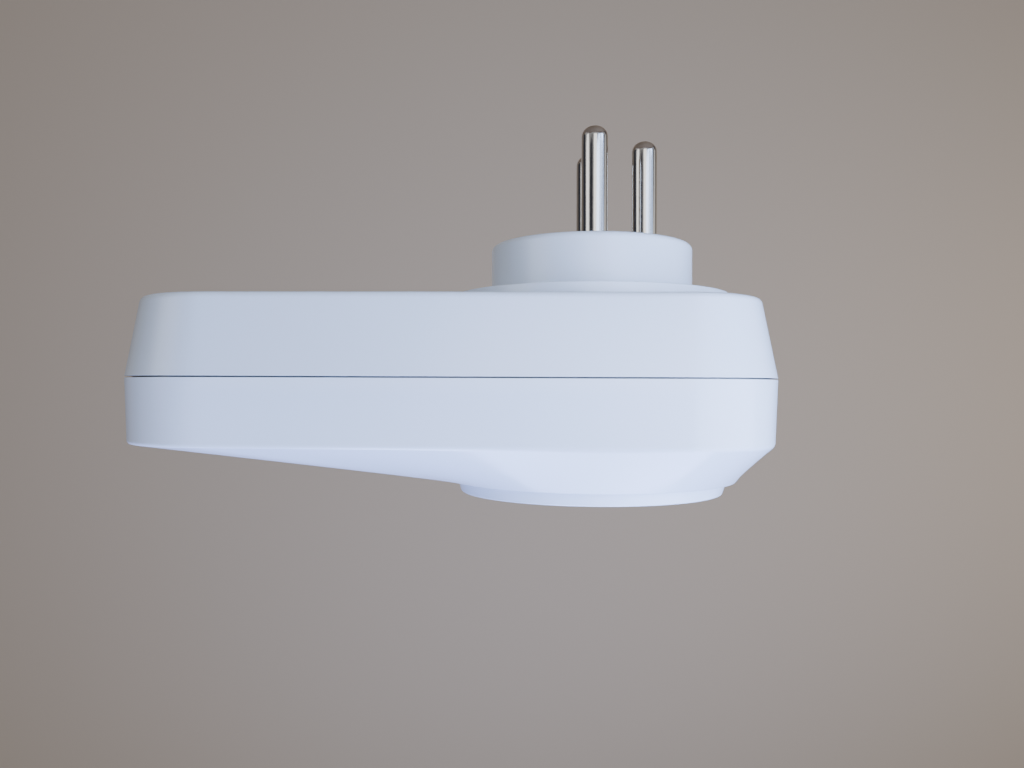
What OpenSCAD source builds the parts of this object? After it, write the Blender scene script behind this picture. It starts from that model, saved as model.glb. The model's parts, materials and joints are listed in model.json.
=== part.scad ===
// Plug-through smart plug: a tapering case with three round pins on its wall side
// and a matching recessed socket on its room side.
// Millimetres. Origin at the middle of the plug face, +Y along the pins into the wall,
// +Z up the tail of the case. Each part is drawn lying down, with its height as the depth
// from the plug face towards the room, and upright() then turns it into place.

/* [Case] */
// Half the width of the case at the seam
case_half_width = 29.5; // [28.5:0.5:31]
// Distance from the plug axis to the end of the tail
tail_length = 77; // [76:1:82]
// Distance from the plug axis to the end of the case nearest the earth pin
nose_length = 29.1; // [29:0.1:31]
// Corner radius of the outline at the tail
tail_corner_r = 17; // [15:0.5:18]
// Corner radius of the outline at the nose
nose_corner_r = 16; // [14:0.5:17]
// Thickness of the case walls
wall = 2; // [1.6:0.1:2.2]

/* [Depths from the plug face] */
// Flat back of the case
back_depth = 10.8; // [10.4:0.1:11]
// Seam between the two shells
seam_depth = 23.6; // [23.2:0.1:24]
// Crease where the straight side ends and the front starts to slope
crease_depth = 34.3; // [34:0.1:34.6]
// Ledge that the socket ring stands on
ledge_depth = 41.2; // [41:0.1:41.6]
// Front face of the socket ring
ring_depth = 43.4; // [43.2:0.1:44]

/* [Plug] */
// Radius of the round plug boss
boss_r = 17.8; // [17.2:0.1:18]
// Radius of the low disc at the foot of the boss
disc_r = 24.2; // [23.6:0.1:24.6]
// Height of that disc above the back of the case
disc_height = 1.9; // [1.5:0.1:2.1]
// Radius of the three pins
pin_r = 2.25; // [2.2:0.05:2.4]
// Free length of the pins
pin_length = 19; // [18.5:0.1:19.5]
// Half the spacing of the line and neutral pins
pin_half_spacing = 9.5; // [9.4:0.1:9.6]
// Distance of the earth pin below the line and neutral pins
earth_offset = 9.5; // [9.4:0.1:9.6]

/* [Socket] */
// Outer radius of the raised ring at its foot
ring_r = 23.7; // [23.3:0.1:24]
// Inner radius of the well
well_r = 18.6; // [18.2:0.1:18.8]
// Depth of the well
well_depth = 8.8; // [8.6:0.1:9]
// Radius of the three pin holes
hole_r = 2.5; // [2.4:0.05:2.6]
// How far the safety shutter slides
shutter_travel = 5.8; // [5.6:0.1:5.9]

/* [Button and light] */
// Radius of the button
button_r = 5.3; // [4.8:0.1:5.5]
// Distance of the button above the plug axis
button_z = 56.5; // [56:0.5:57]
// How far the button can be pressed
button_travel = 0.5; // [0.3:0.1:0.5]
// Distance of the light above the plug axis
light_z = 44; // [42:0.5:45]

/* [Hidden] */
$fn = 64;

// Colours
WHITE = [0.91, 0.93, 0.97];
NICKEL = [0.78, 0.78, 0.76];
BRASS = [0.80, 0.66, 0.36];
STEEL = [0.62, 0.63, 0.65];
BOARD_GREEN = [0.08, 0.36, 0.20];
NYLON_BLACK = [0.10, 0.10, 0.11];

// Case shape
back_inset = 2.3;        // how far the back outline lies inside the seam outline
nose_lean = 0.3;         // how much further in the back outline lies at the nose
back_edge = 1;           // height and width of the rounded edge round the back
front_inset = 0.4;       // draft of the front side wall
ledge_r = 25.3;          // radius of the ledge at the top of the sloping front
seam_gap = 0.2;          // visible gap between the shells
tongue_height = 1.6;     // tongue of the rear shell inside the front shell
tongue_inset = 1.2;
fit_gap = 0.1;
sliver = 0.2;            // thickness of the slices that hull() spans
hull_facets = 32;        // sides of the rounds inside a hull()
slope_angle = atan((ledge_depth - crease_depth) / (tail_length - front_inset - ledge_r));

// Case screws, as [x, z] seen from the front
CASE_SCREWS = [[19, 65], [-19, 65], [20.6, -18.2], [-20.6, -18.2]];
sleeve_r = 4;
front_boss_r = 3.4;
screw_seat_depth = 15;
screw_joint_depth = 23;
screw_head_r = 2.5;
screw_head_height = 2;
screw_shank_r = 1.15;
screw_tip_depth = 30;

// Plug base and what it holds
PIN_PLACES = [[pin_half_spacing, 0], [-pin_half_spacing, 0], [0, -earth_offset]];
plug_floor = 4;
boss_wall = 2.5;
boss_edge = 0.8;
hub_r = 16.9;
pin_root_r = 2.5;
pin_tip_round = 1.8;
flange_r = 3.6;
flange_depth = 3;
retainer_depth = 4.6;
retainer_thick = 1.6;
pin_tail_r = 1.5;
strip = 0.8;             // thickness of the metal strips
busbar_depth = retainer_depth + retainer_thick;
rivet_r = 2.2;
rivet_height = 0.4;
RETAINER_SCREWS = [[0, 11], [10.5, -7.5], [-10.5, -7.5]];
small_head_r = 2;
small_head_height = 1.2;
small_shank_r = 0.85;
busbar_x = 4.4;
busbar_width = 3.2;
busbar_climb_z = 11.6;
busbar_run_depth = 13.6;
busbar_tab_z = 25.6;
tab_top_depth = 18;
strap_half = 2;
strap_low = -earth_offset - 3.9;

// Socket insert, contact block and contacts
insert_wall = 2.4;
insert_r = well_r + insert_wall;
ring_draft = 0.6;        // how much narrower the ring is at its front edge than at its foot
ring_edge = 0.4;
well_floor_depth = ring_depth - well_depth;
floor_back_depth = well_floor_depth - insert_wall;
hole_chamfer = 0.4;
INSERT_SCREWS = [[0, 12.9], [8.2, -9.8], [-8.2, -9.8]];
post_r = 2.6;
post_depth = 26;
insert_head_r = 2.2;
insert_head_height = 1.5;
insert_shank_r = 1.05;
block_depth = 15;
block_x = 17;
block_low = -14.5;
block_high = 10.6;
block_tab_x = 3.4;
block_tab_high = 16.2;
cover_depth = 12.9;
contact_depth = block_depth - strip;
contact_in_r = 2.35;
contact_out_r = 3.1;
contact_top_depth = 25.8;
contact_pocket_r = 3.8;
contact_slit = 1.2;
foot_half = 3.5;
riser_x = 9.6;
riser_width = 3.2;
riser_tab_z = 27.2;
lug_depth = 37.6;
lug_reach = 0.9;
lug_half = 3;
well_lead_in = 0.6;

// Safety shutter
shutter_front_depth = floor_back_depth - fit_gap;
shutter_plate = 1.4;
wedge_half = 3.4;
wedge_low = -3;
wedge_high = 3;
wedge_back_depth = 26.6;
channel_gap = 0.3;
channel_high = wedge_high + shutter_travel + 1;
spring_centre_depth = 28.6;
spring_r = 1.3;
spring_wire_r = 0.22;
spring_turns = 7;
spring_start = 0.4;
seat_half = 1.7;
seat_thick = 1.2;

// Main board
board_depth = 16;
board_thick = 1.6;
board_top = board_depth + board_thick;
board_half = 24;
board_low = 24;
board_high = 60;
tongue_half = 13;
tongue_high = 73;
radio_thick = 0.8;       // thickness of the radio board
BOARD_SCREWS = [[21, 27], [-21, 27], [21, 57], [-21, 57]];
standoff_r = 2.6;

// Relay
relay_x = -14.25;
relay_low = 31;
relay_width = 15.5;
relay_length = 19.5;
relay_height = 15.3;
relay_wall = 0.8;
relay_base_thick = 1.2;
relay_half = relay_width / 2;
relay_top = board_top + relay_height;
relay_floor = board_top + relay_base_thick;
coil_z = 37;
coil_r = 4.4;
core_r = 2;
core_top = 27.9;
armature_thick = 1;
armature_depth = 28.5;
armature_half = 3.6;
yoke_z = 42.2;
yoke_thick = 1;
blade_thick = 0.3;
blade_half = 2;
blade_high = 48.9;
rivet_z = blade_high - 1.4;
contact_rivet_r = 1.2;
contact_rivet_height = 0.3;
contact_travel = 0.7;
terminal_x = relay_x + 4.3;
terminal_thick = 0.7;

// Button
button_flange_r = 6.5;
button_flange_depth = 32.6;
button_flange_thick = 0.9;
button_proud = 0.5;
stem_r = 1.5;
collar_in_r = 6.8;
collar_wall = 1.2;
collar_depth = 31.6;
switch_size = 6;
switch_height = 3.5;
plunger_r = 1.7;
plunger_depth = board_top + 2.2;
plunger_height = 2.6;
light_r = 1.5;
light_flange_r = 2.4;
light_flange_depth = 34.8;
light_proud = 0.1;
led_height = 1.9;

// ---------- helpers ----------

// Turns a part drawn lying down into its place on the wall
module upright() {
    rotate([90, 0, 0]) children();
}

// A thin disc at both corners of one end of the case outline
module corner_pair(corner_r, end, inset, depth) {
    r = corner_r - inset;
    for (side = [-1, 1])
        translate([side * (case_half_width - corner_r), end, depth])
            cylinder(r = r, h = sliver, $fn = hull_facets);
}

// The four corners of the case outline, drawn inset, for hull() to span
module slice(inset, tail_at, nose_at, lean = 0) {
    corner_pair(tail_corner_r, tail_length - tail_corner_r, inset, tail_at);
    corner_pair(nose_corner_r, nose_corner_r - nose_length + lean, inset, nose_at);
}

// The front half of the case as one solid, shrunk by skin
module front_form(skin, from_depth) {
    tail_crease = crease_depth - sliver - skin * 0.9;
    nose_crease = crease_depth - sliver - skin * 0.3;
    hull() {
        slice(skin, from_depth, from_depth);
        slice(skin + front_inset, tail_crease, nose_crease);
        translate([0, 0, ledge_depth - sliver - skin])
            cylinder(r = ledge_r - skin, h = sliver, $fn = hull_facets);
    }
}

// The rear half of the case as one solid
module rear_form(to_depth) {
    edge_top = back_depth + back_edge;
    hull() {
        slice(0, to_depth - sliver, to_depth - sliver);
        slice(back_inset * 0.9, edge_top, edge_top, nose_lean * 0.9);
        slice(back_inset + back_edge * 0.7, back_depth, back_depth, nose_lean);
    }
}

// A straight prism of the case outline
module prism(inset, low, high) {
    hull() {
        slice(inset, low, low);
        slice(inset, high - sliver, high - sliver);
    }
}

// A tube between two depths
module tube(outer_r, inner_r, low, high) {
    translate([0, 0, low]) difference() {
        cylinder(r = outer_r, h = high - low);
        translate([0, 0, -1]) cylinder(r = inner_r, h = high - low + 2);
    }
}

// A cylinder between two depths
module rod(r, low, high) {
    translate([0, 0, low]) cylinder(r = r, h = high - low);
}

// A box between two corners
module block(low, high) {
    translate(low) cube(high - low);
}

// Copies its children to each [x, z] place in a list
module at_each(places) {
    for (place = places) translate([place[0], place[1], 0]) children();
}

// Everything deeper than the sloping front plane, moved out by lift
module beyond_slope(lift) {
    translate([0, tail_length - front_inset, crease_depth + lift])
        rotate([-slope_angle, 0, 0])
            translate([-case_half_width, -tail_length, 0])
                cube([2 * case_half_width, 2 * tail_length, 20]);
}

// A pan-headed screw pointing towards the room
module screw(head_r, head_height, shank_r, seat, tip) {
    rod(head_r, seat - head_height, seat);
    rod(shank_r, seat, tip);
}

// ---------- case ----------

module front_shell() {
    color(WHITE) upright() difference() {
        union() {
            difference() {
                front_form(0, seam_depth + seam_gap / 2);
                front_form(wall, seam_depth - 1);
                prism(tongue_inset - fit_gap, seam_depth - 1, seam_depth + tongue_height + fit_gap);
            }
            intersection() {
                front_form(0, seam_depth + seam_gap / 2 - 1);
                union() {
                    at_each(CASE_SCREWS) rod(front_boss_r, screw_joint_depth + fit_gap, ledge_depth);
                    translate([0, button_z, 0])
                        tube(collar_in_r + collar_wall, collar_in_r, collar_depth, ledge_depth);
                }
            }
        }
        at_each(CASE_SCREWS) rod(screw_shank_r + 0.05, screw_joint_depth - 1, screw_tip_depth + 0.5);
        rod(insert_r + 0.2, ledge_depth - 6, ledge_depth + 1);
        translate([0, button_z, 0]) rod(button_r + 0.2, collar_depth, ledge_depth);
        translate([0, light_z, 0]) rod(light_r + 0.1, crease_depth, ledge_depth);
    }
}

module rear_shell() {
    color(WHITE) upright() difference() {
        union() {
            difference() {
                union() {
                    rear_form(seam_depth - seam_gap / 2);
                    prism(tongue_inset, seam_depth - 1, seam_depth + tongue_height);
                }
                hull() {
                    slice(wall, seam_depth + tongue_height + 1, seam_depth + tongue_height + 1);
                    slice(wall + back_inset, back_depth + wall, back_depth + wall, nose_lean);
                }
            }
            at_each(CASE_SCREWS) rod(sleeve_r, back_depth + 0.5, screw_joint_depth);
            at_each(BOARD_SCREWS) rod(standoff_r, back_depth + wall - 0.5, board_depth);
        }
        at_each(CASE_SCREWS) {
            rod(screw_head_r + 0.2, back_depth - 1, screw_seat_depth);
            rod(screw_shank_r + 0.4, back_depth, screw_joint_depth + 1);
        }
        at_each(BOARD_SCREWS) rod(small_shank_r + 0.05, back_depth + wall, board_depth + 1);
        rod(hub_r + 0.05, back_depth - 1, back_depth + wall + 1);
    }
}

module case_screws() {
    color(STEEL) upright() at_each(CASE_SCREWS)
        screw(screw_head_r, screw_head_height, screw_shank_r, screw_seat_depth, screw_tip_depth);
}

// ---------- plug ----------

// Boss with the low disc round its foot and a hub that is welded into the rear shell
module plug_base() {
    color(WHITE) upright() difference() {
        union() {
            cylinder(r1 = boss_r - boss_edge, r2 = boss_r, h = boss_edge);
            rod(boss_r, boss_edge, back_depth);
            rod(disc_r, back_depth - disc_height, back_depth);
            rod(hub_r, back_depth, back_depth + wall);
        }
        rod(boss_r - boss_wall, retainer_depth, back_depth + wall + 1);
        difference() {
            rod(boss_r - boss_wall, plug_floor, retainer_depth + 1);
            at_each(concat(PIN_PLACES, RETAINER_SCREWS)) rod(flange_r + 1, plug_floor - 1, retainer_depth);
        }
        at_each(PIN_PLACES) {
            rod(pin_root_r + 0.05, -1, flange_depth + 1);
            rod(flange_r + fit_gap, flange_depth, retainer_depth + 1);
        }
        at_each(RETAINER_SCREWS) rod(small_shank_r + 0.05, 1, retainer_depth + 1);
    }
}

// One round pin with a rounded tip, a flange inside the boss and a riveted tail
module pin() {
    tip_centre = pin_length - pin_tip_round;
    tip_arc = [
        for (angle = [0:10:90])
            [pin_r - pin_tip_round * (1 - cos(angle)), -tip_centre - pin_tip_round * sin(angle)]
    ];
    color(NICKEL) upright() {
        rotate_extrude() polygon(concat([[0, -pin_length], [0, 0], [pin_r, 0]], tip_arc));
        rod(pin_root_r, 0, flange_depth);
        rod(flange_r, flange_depth, retainer_depth);
        rod(pin_tail_r, retainer_depth, busbar_depth + strip);
        rod(rivet_r, busbar_depth + strip, busbar_depth + strip + rivet_height);
    }
}

module line_pin() {
    translate([pin_half_spacing, 0, 0]) pin();
}

module neutral_pin() {
    translate([-pin_half_spacing, 0, 0]) pin();
}

module earth_pin() {
    translate([0, 0, -earth_offset]) pin();
}

module pin_retainer() {
    color(NYLON_BLACK) upright() difference() {
        rod(boss_r - boss_wall - 0.2, retainer_depth, retainer_depth + retainer_thick);
        at_each(PIN_PLACES) rod(pin_tail_r + fit_gap, 0, back_depth);
        at_each(RETAINER_SCREWS) rod(small_shank_r + 0.2, 0, back_depth);
    }
}

module retainer_screws() {
    color(STEEL) upright() at_each(RETAINER_SCREWS) mirror([0, 0, 1])
        screw(small_head_r, small_head_height, small_shank_r, -busbar_depth, -1.2);
}

// Strip from a pin's tail up to the main board, for the +X side
module busbar() {
    run = [busbar_x + busbar_width, busbar_climb_z + strip];
    color(BRASS) upright() difference() {
        union() {
            block([busbar_x, -3, busbar_depth], [pin_half_spacing + 3, 3, busbar_depth + strip]);
            block([busbar_x, 2, busbar_depth], [run[0], run[1], busbar_depth + strip]);
            block([busbar_x, busbar_climb_z, busbar_depth], [run[0], run[1], busbar_run_depth + strip]);
            block([busbar_x, busbar_climb_z, busbar_run_depth],
                [run[0], busbar_tab_z + strip, busbar_run_depth + strip]);
            block([busbar_x, busbar_tab_z, busbar_run_depth], [run[0], busbar_tab_z + strip, tab_top_depth]);
        }
        translate([pin_half_spacing, 0, 0]) rod(pin_tail_r + 0.05, 0, back_depth);
    }
}

module line_busbar() {
    busbar();
}

module neutral_busbar() {
    mirror([1, 0, 0]) busbar();
}

// Strip from the earth pin's tail to the earth contact
module earth_strap() {
    color(BRASS) upright() difference() {
        union() {
            block([-strap_half, strap_low, busbar_depth],
                [strap_half, 2.6 - earth_offset, busbar_depth + strip]);
            block([-strap_half, strap_low, busbar_depth], [strap_half, strap_low + strip, contact_depth]);
        }
        translate([0, -earth_offset, 0]) rod(pin_tail_r + 0.05, 0, back_depth);
    }
}

// ---------- socket ----------

// Ring, well and floor in one moulding, with lugs that snap behind the front shell
module socket_insert() {
    edge = [
        for (angle = [0:15:90])
            [ring_r - ring_draft - ring_edge * (1 - cos(angle)), ring_depth - ring_edge * (1 - sin(angle))]
    ];
    color(WHITE) upright() difference() {
        union() {
            rotate_extrude() polygon(concat(
                [[0, floor_back_depth], [insert_r, floor_back_depth], [insert_r, ledge_depth],
                [ring_r, ledge_depth]],
                edge,
                [[well_r + well_lead_in, ring_depth], [well_r, ring_depth - well_lead_in],
                [well_r, well_floor_depth], [0, well_floor_depth]]
            ));
            at_each(INSERT_SCREWS) rod(post_r, post_depth, floor_back_depth + 1);
            for (turn = [45:90:315]) rotate([0, 0, turn]) intersection() {
                tube(insert_r + lug_reach, insert_r - 1, lug_depth, ledge_depth - wall - 0.05);
                block([0, -lug_half, 0], [insert_r + 2, lug_half, ledge_depth]);
            }
        }
        at_each(PIN_PLACES) {
            rod(hole_r, floor_back_depth - 1, well_floor_depth + 1);
            translate([0, 0, well_floor_depth - hole_chamfer])
                cylinder(r1 = hole_r, r2 = hole_r + hole_chamfer + 0.1, h = hole_chamfer + 0.1);
        }
        at_each(INSERT_SCREWS) rod(insert_shank_r + 0.05, post_depth - 1, well_floor_depth - 1.2);
    }
}

// Outline shared by the contact block and its cover
module block_plate(low, high) {
    block([-block_x, block_low, low], [block_x, block_high, high]);
    block([-block_tab_x, 0, low], [block_tab_x, block_tab_high, high]);
}

// Room that the shutter needs over its travel
module shutter_channel() {
    for (side = [-1, 1]) translate([side * pin_half_spacing, 0, 0])
        block([-wedge_half - channel_gap, wedge_low - channel_gap, wedge_back_depth - channel_gap],
            [wedge_half + channel_gap, channel_high, floor_back_depth + 1]);
    block([-pin_half_spacing, -1.2, shutter_front_depth - shutter_plate - channel_gap],
        [pin_half_spacing, channel_high, floor_back_depth + 1]);
    block([-seat_half - channel_gap, -1.2, spring_centre_depth - seat_half - channel_gap],
        [seat_half + channel_gap, channel_high, floor_back_depth]);
}

module contact_block() {
    color(NYLON_BLACK) upright() difference() {
        block_plate(block_depth, floor_back_depth);
        at_each(PIN_PLACES) rod(contact_pocket_r, block_depth - 1, contact_top_depth + 0.2);
        at_each(PIN_PLACES) rod(hole_r + 0.2, block_depth, floor_back_depth + 1);
        shutter_channel();
        at_each(INSERT_SCREWS) {
            rod(insert_shank_r + 0.2, block_depth - 1, floor_back_depth);
            rod(post_r + fit_gap, post_depth - fit_gap, floor_back_depth + 1);
        }
    }
}

module contact_cover() {
    color(NYLON_BLACK) upright() difference() {
        block_plate(cover_depth, contact_depth);
        at_each(INSERT_SCREWS) rod(insert_shank_r + 0.2, 0, block_depth);
        block([-strap_half - 0.2, strap_low - 0.2, 0],
            [strap_half + 0.2, strap_low + strip + 0.2, block_depth]);
    }
}

module insert_screws() {
    color(STEEL) upright() at_each(INSERT_SCREWS)
        screw(insert_head_r, insert_head_height, insert_shank_r, cover_depth, post_depth + 6);
}

// Slotted tube that grips a pin, on a flat foot
module contact_tube() {
    difference() {
        tube(contact_out_r, contact_in_r, block_depth - 0.2, contact_top_depth);
        for (turn = [0, 90]) rotate([0, 0, turn])
            block([-contact_out_r - 1, -contact_slit / 2, block_depth + 1.5],
                [contact_out_r + 1, contact_slit / 2, contact_top_depth + 1]);
    }
}

// Contact with its strip up to the main board, for the +X side
module pole_contact() {
    strip_high = riser_tab_z + strip;
    color(BRASS) upright() {
        translate([pin_half_spacing, 0, 0]) contact_tube();
        block([pin_half_spacing - foot_half, -foot_half, contact_depth],
            [pin_half_spacing + foot_half, foot_half, block_depth]);
        block([riser_x, foot_half - 0.5, contact_depth], [riser_x + riser_width, strip_high, block_depth]);
        block([riser_x, riser_tab_z, contact_depth], [riser_x + riser_width, strip_high, tab_top_depth]);
    }
}

module line_contact() {
    pole_contact();
}

module neutral_contact() {
    mirror([1, 0, 0]) pole_contact();
}

module earth_contact() {
    color(BRASS) upright() translate([0, -earth_offset, 0]) {
        contact_tube();
        block([-foot_half, -foot_half - 0.9, contact_depth], [foot_half, foot_half, block_depth]);
    }
}

// Two wedges that the pins push aside together, joined by a bridge with a spring seat
module safety_shutter() {
    wedge = [
        [wedge_high, shutter_front_depth], [wedge_high - 0.8, shutter_front_depth],
        [wedge_low, wedge_back_depth + 0.8], [wedge_low, wedge_back_depth],
        [wedge_high, wedge_back_depth]
    ];
    plate_depth = shutter_front_depth - shutter_plate;
    color("gray") upright() {
        for (side = [-1, 1]) translate([side * pin_half_spacing - wedge_half, 0, 0])
            rotate([90, 0, 90]) linear_extrude(2 * wedge_half) polygon(wedge);
        block([-pin_half_spacing + wedge_half, -0.8, plate_depth],
            [pin_half_spacing - wedge_half, wedge_high, shutter_front_depth]);
        block([-seat_half, spring_start - seat_thick, spring_centre_depth - seat_half],
            [seat_half, spring_start, shutter_front_depth]);
    }
}

// Compression spring that pushes the shutter back over the holes
module shutter_spring() {
    sides = 6;
    steps = 14;
    rings = spring_turns * steps;
    low = spring_start + spring_wire_r;
    rise = channel_high - spring_start - 2 * spring_wire_r;
    points = [
        for (ring = [0:rings], side = [0:sides - 1])
            let (around = 360 * ring / steps, about = 360 * side / sides)
            let (reach = spring_r + spring_wire_r * cos(about))
            [reach * cos(around), low + rise * ring / rings + spring_wire_r * sin(about),
            spring_centre_depth + reach * sin(around)]
    ];
    walls = [
        for (ring = [0:rings - 1], side = [0:sides - 1])
            let (next = (side + 1) % sides, near = ring * sides, far = near + sides)
            [near + side, near + next, far + next, far + side]
    ];
    first_end = [for (side = [sides - 1:-1:0]) side];
    last_end = [for (side = [0:sides - 1]) rings * sides + side];
    color(STEEL) upright() polyhedron(points, concat(walls, [first_end, last_end]));
}

// ---------- electronics ----------

// Fibreglass board with slots for the strips, and a tongue for the radio
module main_board() {
    color(BOARD_GREEN) upright() difference() {
        union() {
            block([-board_half, board_low, board_depth], [board_half, board_high, board_top]);
            block([-tongue_half, board_low, board_depth], [tongue_half, tongue_high, board_top]);
        }
        at_each(BOARD_SCREWS) rod(small_shank_r + 0.2, 0, seam_depth);
        for (side = [0, 1]) mirror([side, 0, 0]) {
            block([busbar_x - 0.2, busbar_tab_z - 0.2, 0],
                [busbar_x + busbar_width + 0.2, busbar_tab_z + strip + 0.2, seam_depth]);
            block([riser_x - 0.2, riser_tab_z - 0.2, 0],
                [riser_x + riser_width + 0.2, riser_tab_z + strip + 0.2, seam_depth]);
        }
    }
}

module board_screws() {
    color(STEEL) upright() at_each(BOARD_SCREWS) mirror([0, 0, 1])
        screw(small_head_r, small_head_height, small_shank_r, -board_top, -back_depth - wall - 0.2);
}

module relay_base() {
    color("dimgray") upright()
        block([relay_x - relay_half + relay_wall + fit_gap, relay_low + relay_wall + fit_gap, board_top],
            [relay_x + relay_half - relay_wall - fit_gap, relay_low + relay_length - relay_wall - fit_gap,
            relay_floor]);
}

module relay_cover() {
    color("royalblue") upright() difference() {
        block([relay_x - relay_half, relay_low, board_top],
            [relay_x + relay_half, relay_low + relay_length, relay_top]);
        block([relay_x - relay_half + relay_wall, relay_low + relay_wall, board_top - 1],
            [relay_x + relay_half - relay_wall, relay_low + relay_length - relay_wall,
            relay_top - relay_wall]);
    }
}

// Bobbin with its winding, round a fixed iron core
module relay_coil() {
    color("sienna") upright() translate([relay_x, coil_z, 0]) {
        rod(coil_r, relay_floor, relay_floor + 1);
        rod(coil_r - 0.6, relay_floor, core_top - 1);
        rod(coil_r, core_top - 2, core_top - 1);
        rod(core_r, relay_floor, core_top);
    }
}

// Iron angle behind the coil, which the armature rocks on
module relay_yoke() {
    color(STEEL) upright()
        block([relay_x - armature_half, yoke_z, relay_floor],
            [relay_x + armature_half, yoke_z + yoke_thick, armature_depth - 0.15]);
}

// Armature plate with the moving contact blade riveted to it
module relay_armature() {
    plate_top = armature_depth + armature_thick;
    blade_top = plate_top + blade_thick;
    color("silver") upright() {
        block([relay_x - armature_half, coil_z - 3.6, armature_depth],
            [relay_x + armature_half, yoke_z + yoke_thick, plate_top]);
        block([relay_x - blade_half, coil_z + 2, plate_top], [relay_x + blade_half, blade_high, blade_top]);
        translate([relay_x, rivet_z, 0]) rod(contact_rivet_r, blade_top, blade_top + contact_rivet_height);
    }
}

// Fixed contact on an arched terminal
module relay_fixed_contact() {
    arch_depth = armature_depth + armature_thick + blade_thick + contact_rivet_height + contact_travel;
    arch_low = blade_high - 3;
    arch_top = arch_depth + 0.5;
    color(BRASS) upright() {
        translate([relay_x, rivet_z, 0]) rod(contact_rivet_r, arch_depth - contact_rivet_height, arch_depth);
        block([relay_x - blade_half, arch_low, arch_depth],
            [terminal_x + terminal_thick, blade_high, arch_top]);
        block([terminal_x, arch_low, relay_floor], [terminal_x + terminal_thick, blade_high, arch_top]);
    }
}

// A box-shaped part standing on the board
module board_box(place, size, lift = 0) {
    translate([place[0], place[1], board_top + lift]) cube(size);
}

module film_capacitor() {
    color("goldenrod") upright() board_box([5.5, 30], [13, 6, 11]);
}

// Disc standing on edge
module varistor() {
    disc_radius = 5;
    lead_gap = 0.6;
    color("steelblue") upright() translate([6, 44.5, board_top + disc_radius + lead_gap])
        rotate([0, 90, 0]) cylinder(r = disc_radius, h = 3.6);
}

module fuse() {
    fuse_height = 7.5;
    color("saddlebrown") upright() translate([16.5, 41.5, 0]) rod(4, board_top, board_top + fuse_height);
}

// Two upright electrolytic cans, each with a crimped top
module bulk_capacitors() {
    can_r = 3.6;
    can_top = board_top + 11;
    crimp = 0.4;
    color("darkslategray") upright() at_each([[15.5, 50.6], [7.6, 53.4]]) {
        rod(can_r, board_top, can_top);
        rod(can_r - crimp, can_top, can_top + crimp);
    }
}

// Drum core with two flanges
module inductor() {
    drum_r = 3.6;
    drum_height = 7;
    flange = 1.2;
    color("dimgray") upright() translate([-11.5, 55.6, 0]) {
        rod(drum_r, board_top, board_top + flange);
        rod(drum_r - flange, board_top, board_top + drum_height);
        rod(drum_r, board_top + drum_height - flange, board_top + drum_height);
    }
}

module rectifier() {
    color(NYLON_BLACK) upright() board_box([-3, 31.5], [6, 4.5, 2]);
}

module power_chip() {
    color(NYLON_BLACK) upright() board_box([-4.6, 37], [3.9, 5, 1.5]);
}

module wifi_board() {
    color("midnightblue") upright() board_box([-10, 60.8], [20, 12, radio_thick]);
}

module wifi_shield() {
    color("silver") upright() board_box([-9.2, 61.4], [12.4, 10.8, 2.4], radio_thick);
}

// Zigzag track at the end of the radio board
module wifi_antenna() {
    rows = 5;
    pitch = 2;
    track = 0.6;
    copper = 0.1;
    start = [4.2, 62];
    length = 5;
    color(BRASS) upright() for (row = [0:rows - 1]) {
        low = start[1] + row * pitch;
        board_box([start[0], low], [length, track, copper], radio_thick);
        if (row < rows - 1) {
            edge = row % 2 == 0 ? start[0] + length - track : start[0];
            board_box([edge, low], [track, pitch + track, copper], radio_thick);
        }
    }
}

// ---------- button and light ----------

module switch_body() {
    half = switch_size / 2;
    color("darkgray") upright() translate([0, button_z, 0]) difference() {
        block([-half, -half, board_top], [half, half, board_top + switch_height]);
        rod(plunger_r + 0.1, plunger_depth - button_travel - 0.2, seam_depth);
    }
}

module switch_plunger() {
    color("black") upright() translate([0, button_z, 0])
        rod(plunger_r, plunger_depth, plunger_depth + plunger_height);
}

// Button with a top that follows the slope, a flange that stops it and a stem to the switch
module button_cap() {
    color(WHITE) upright() difference() {
        translate([0, button_z, 0]) {
            rod(button_r, button_flange_depth, ledge_depth);
            rod(button_flange_r, button_flange_depth, button_flange_depth + button_flange_thick);
            rod(stem_r, plunger_depth + plunger_height + 0.05, button_flange_depth + 1);
        }
        beyond_slope(button_proud);
    }
}

module led() {
    size = [3.2, 2.8, led_height];
    color("ivory") upright() board_box([-size[0] / 2, light_z - size[1] / 2], size);
}

module light_guide() {
    color([0.8, 0.9, 1, 0.6]) upright() difference() {
        translate([0, light_z, 0]) {
            rod(light_r, board_top + led_height + 0.1, ledge_depth);
            rod(light_flange_r, light_flange_depth, light_flange_depth + 0.8);
        }
        beyond_slope(light_proud);
    }
}

front_shell();
rear_shell();
case_screws();
plug_base();
line_pin();
neutral_pin();
earth_pin();
pin_retainer();
retainer_screws();
line_busbar();
neutral_busbar();
earth_strap();
socket_insert();
contact_block();
contact_cover();
insert_screws();
line_contact();
neutral_contact();
earth_contact();
safety_shutter();
shutter_spring();
main_board();
board_screws();
relay_base();
relay_cover();
relay_coil();
relay_yoke();
relay_armature();
relay_fixed_contact();
film_capacitor();
varistor();
fuse();
bulk_capacitors();
inductor();
rectifier();
power_chip();
wifi_board();
wifi_shield();
wifi_antenna();
switch_body();
switch_plunger();
button_cap();
led();
light_guide();
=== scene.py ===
import json
import math

import bmesh
import bpy
from mathutils import Matrix, Vector, geometry
from mathutils.bvhtree import BVHTree


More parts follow.
